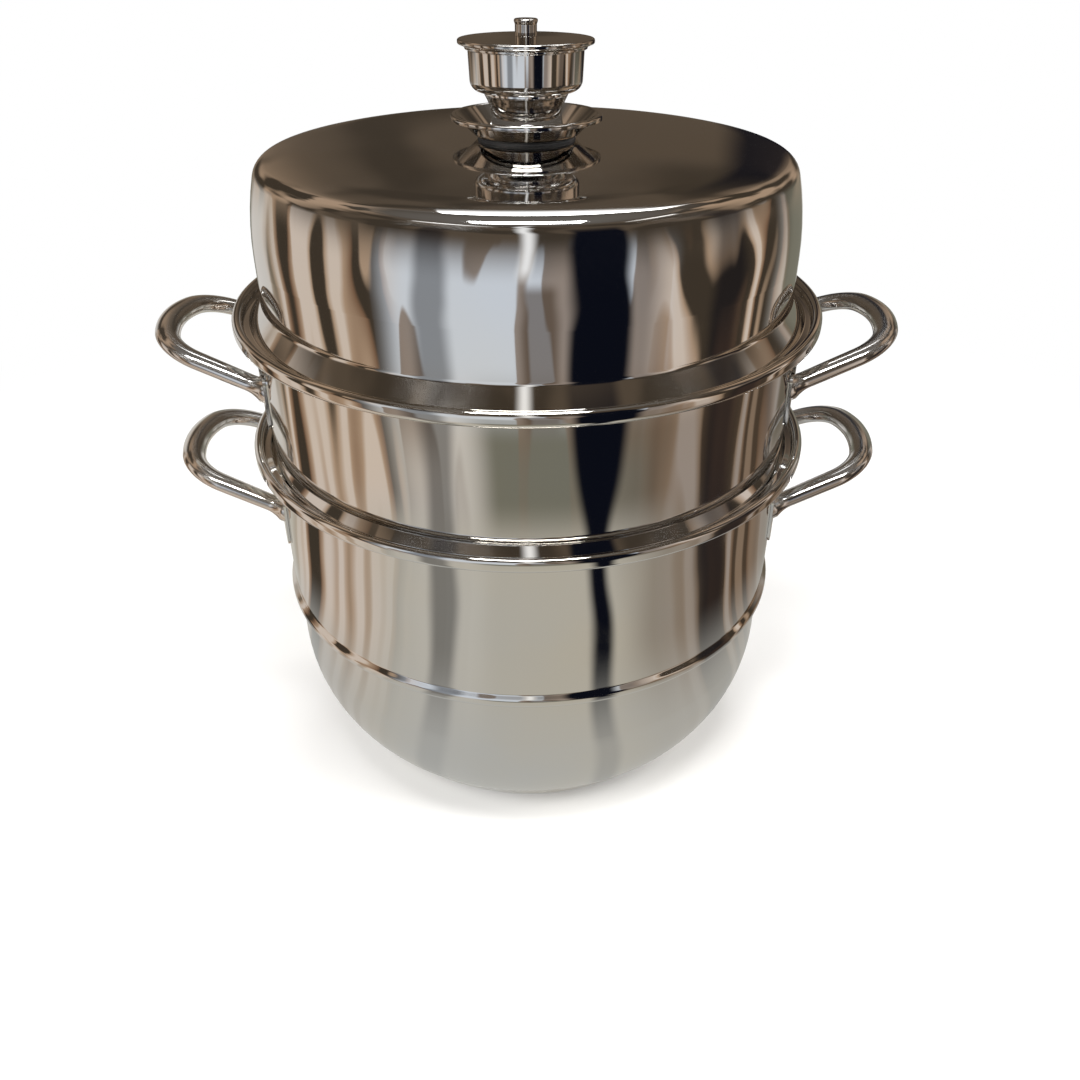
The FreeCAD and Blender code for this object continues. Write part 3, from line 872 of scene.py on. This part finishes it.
def card_finish():
    """Glowing painted reflections: panels in front and behind, warm stripes at the sides, a dark ceiling
    and a few dark flags.
    """
    finish = Finish(bpy.data.materials.new("painted_reflection_cards"))
    card = CardPlace(finish)
    upright = finish.join(card.turn * STRIPES_PER_TURN, card.z * STRIPE_RISE)
    stripes = finish.noise(upright, 1.0, detail=1.2, roughness=0.5)
    side = finish.add("ShaderNodeValToRGB", {"Fac": stripes}, stops=STRIPE_STOPS)
    beside = finish.smooth(card.aside, low=0.10, high=0.15)
    behind = finish.smooth(card.aside, low=0.27, high=0.33)
    wall = finish.mix(beside, front_card(finish, card, stripes), side)
    wall = finish.mix(behind, wall, back_card(finish, card))

    brink = finish.smooth(card.aside, low=0.26, high=0.40, out_low=0.33, out_high=0.24)
    above = finish.smooth(card.z, low=brink, high=brink + BRINK_DEPTH)
    wall = finish.mix(above, wall, ceiling_card(finish, card))

    striped = finish.smooth(card.aside, low=0.12, high=0.20) * (1.0 - behind)
    below = finish.smooth(card.z, low=0.008, high=0.07, out_low=0.85, out_high=0.0)
    wall = finish.mix(below, wall, finish.mix(striped, FLOOR_CARD, side))
    shade = finish.smooth(card.turn, low=0.57, high=0.64)
    shade = shade * finish.smooth(card.z, low=0.12, high=0.18, out_low=0.55, out_high=0.0)
    wall = finish.mix(shade, wall, UMBER_CARD)

    # Dark flags: painted dark reflections of upright shapes in front of the steel.
    flag_top = finish.smooth(card.z, low=0.50, high=0.70, out_low=1.0, out_high=0.0)
    wall = finish.mix(painted_dark_flags(finish, card) * flag_top, wall, DARK_CARD)
    gleam = finish.band(card.turn, middle=0.497, half=0.006, soft=0.006)
    wall = finish.mix(gleam * finish.smooth(card.z, low=0.33, high=0.38), wall, WHITE)
    # Grey painted shade on the floor ring next to the pot, reflected in the belly and the base.
    near = finish.smooth(card.reach, low=0.20, high=0.34, out_low=0.8, out_high=0.0)
    wall = finish.mix(near, wall, NEAR_SHADE_CARD)

    fade = finish.smooth(card.z, low=CARD_FADES, high=CARD_TOP, out_low=1.0, out_high=0.0)
    cover = finish.smooth(card.reach, low=CARD_INSIDE, high=CARD_COVERS) * fade
    # The cards glow with their painted reflections; they are no lamps.
    glow = finish.add("ShaderNodeEmission", {"Color": wall, "Strength": 1.0})
    clear = finish.add("ShaderNodeBsdfTransparent")
    return finish.surface(finish.add("ShaderNodeMixShader", {0: cover, 1: clear, 2: glow}))


def painted_reflection_cards():
    """A ring on the floor that turns up into a wall all round, glowing with painted reflections that
    only the steel sees.
    """
    bm = bmesh.new()
    tip = bmesh.ops.create_vert(bm, co=(CARD_INSIDE, 0, CARD_LIFT))["vert"]
    for way in ((CARD_DISTANCE - CARD_INSIDE, 0, 0), (0, 0, CARD_TOP)):
        tip = bmesh.ops.extrude_vert_indiv(bm, verts=tip)["verts"]
        bmesh.ops.translate(bm, verts=tip, vec=way)
    bmesh.ops.spin(
        bm, geom=bm.verts[:] + bm.edges[:], cent=(0, 0, 0), axis=(0, 0, 1), angle=math.tau,
        steps=RING_STEPS, use_merge=True,
    )
    mesh = bpy.data.meshes.new("painted_reflection_cards")
    bm.to_mesh(mesh)
    bm.free()
    cards = bpy.data.objects.new("painted_reflection_cards", mesh)
    scene.collection.objects.link(cards)
    cards.data.materials.append(card_finish())
    cards.visible_camera = False
    cards.visible_diffuse = False
    cards.visible_shadow = False
    cards.visible_transmission = False


def soft_box(name, place, target, size, power, tint):
    light = bpy.data.lights.new(name, "AREA")
    light.shape = "RECTANGLE"
    light.size, light.size_y = size
    light.energy = power
    light.color = tint
    lamp = bpy.data.objects.new(name, light)
    scene.collection.objects.link(lamp)
    lamp.location = place
    lamp.rotation_euler = (Vector(target) - Vector(place)).to_track_quat("-Z", "Y").to_euler()


def soft_boxes():
    """Soft light from the front left, the right, above and behind."""
    middle = (0, 0, 0.25)
    soft_box(
        "key_box", place=(-0.9, -1.1, 1.7), target=middle,
        size=(1.0, 0.8), power=26.0, tint=(1.0, 0.99, 0.97),
    )
    soft_box(
        "side_box", place=(1.3, -0.5, 1.5), target=middle,
        size=(0.7, 0.9), power=18.0, tint=(1.0, 0.98, 0.95),
    )
    soft_box(
        "top_box", place=(0.0, -0.45, 2.0), target=middle,
        size=(0.9, 0.35), power=14.0, tint=(1.0, 1.0, 1.0),
    )
    soft_box(
        "back_box", place=(0.2, 1.4, 1.9), target=(0, 0, 0.2),
        size=(1.2, 0.6), power=18.0, tint=(1.0, 1.0, 1.0),
    )


# Colours of the world from the horizon up to overhead
SKY_STOPS = (
    (0.0, WHITE),
    (0.45, WHITE),
    (0.62, (0.30, 0.28, 0.26, 1)),
    (0.78, (0.10, 0.085, 0.07, 1)),
    (1.0, (0.16, 0.145, 0.13, 1)),
)


def room_light():
    """World that is white at the horizon and a dim warm grey overhead."""
    world = bpy.data.worlds.new("studio")
    scene.world = world
    finish = Finish(world)
    way = finish.add("ShaderNodeTexCoord")
    up = finish.parts(way)[2]
    sky = finish.add("ShaderNodeValToRGB", {"Fac": up}, stops=SKY_STOPS)
    glow = finish.add("ShaderNodeBackground", {"Color": sky, "Strength": 1.0})
    finish.surface(glow, "ShaderNodeOutputWorld")


# The photograph's camera: focal length and width in pixels, place in metres, angles in radians
FOCAL_PIXELS, WIDTH_PIXELS = 961.5, 1080
SENSOR = 36.0
CAMERA_PLACE = (0.0, -0.5672, 0.4869)
CAMERA_DIP, CAMERA_PAN = 0.575, -0.013
CLIP_START = 0.02


def photo_camera():
    camera = bpy.data.objects.new("camera", bpy.data.cameras.new("camera"))
    scene.collection.objects.link(camera)
    camera.data.sensor_width = SENSOR
    camera.data.lens = SENSOR * FOCAL_PIXELS / WIDTH_PIXELS
    camera.data.clip_start = CLIP_START
    camera.location = CAMERA_PLACE
    camera.rotation_euler = (math.pi / 2 - CAMERA_DIP, 0.0, CAMERA_PAN)
    scene.camera = camera


flat_floor()
painted_reflection_cards()
soft_boxes()
room_light()
photo_camera()
scene.view_settings.view_transform = "Standard"
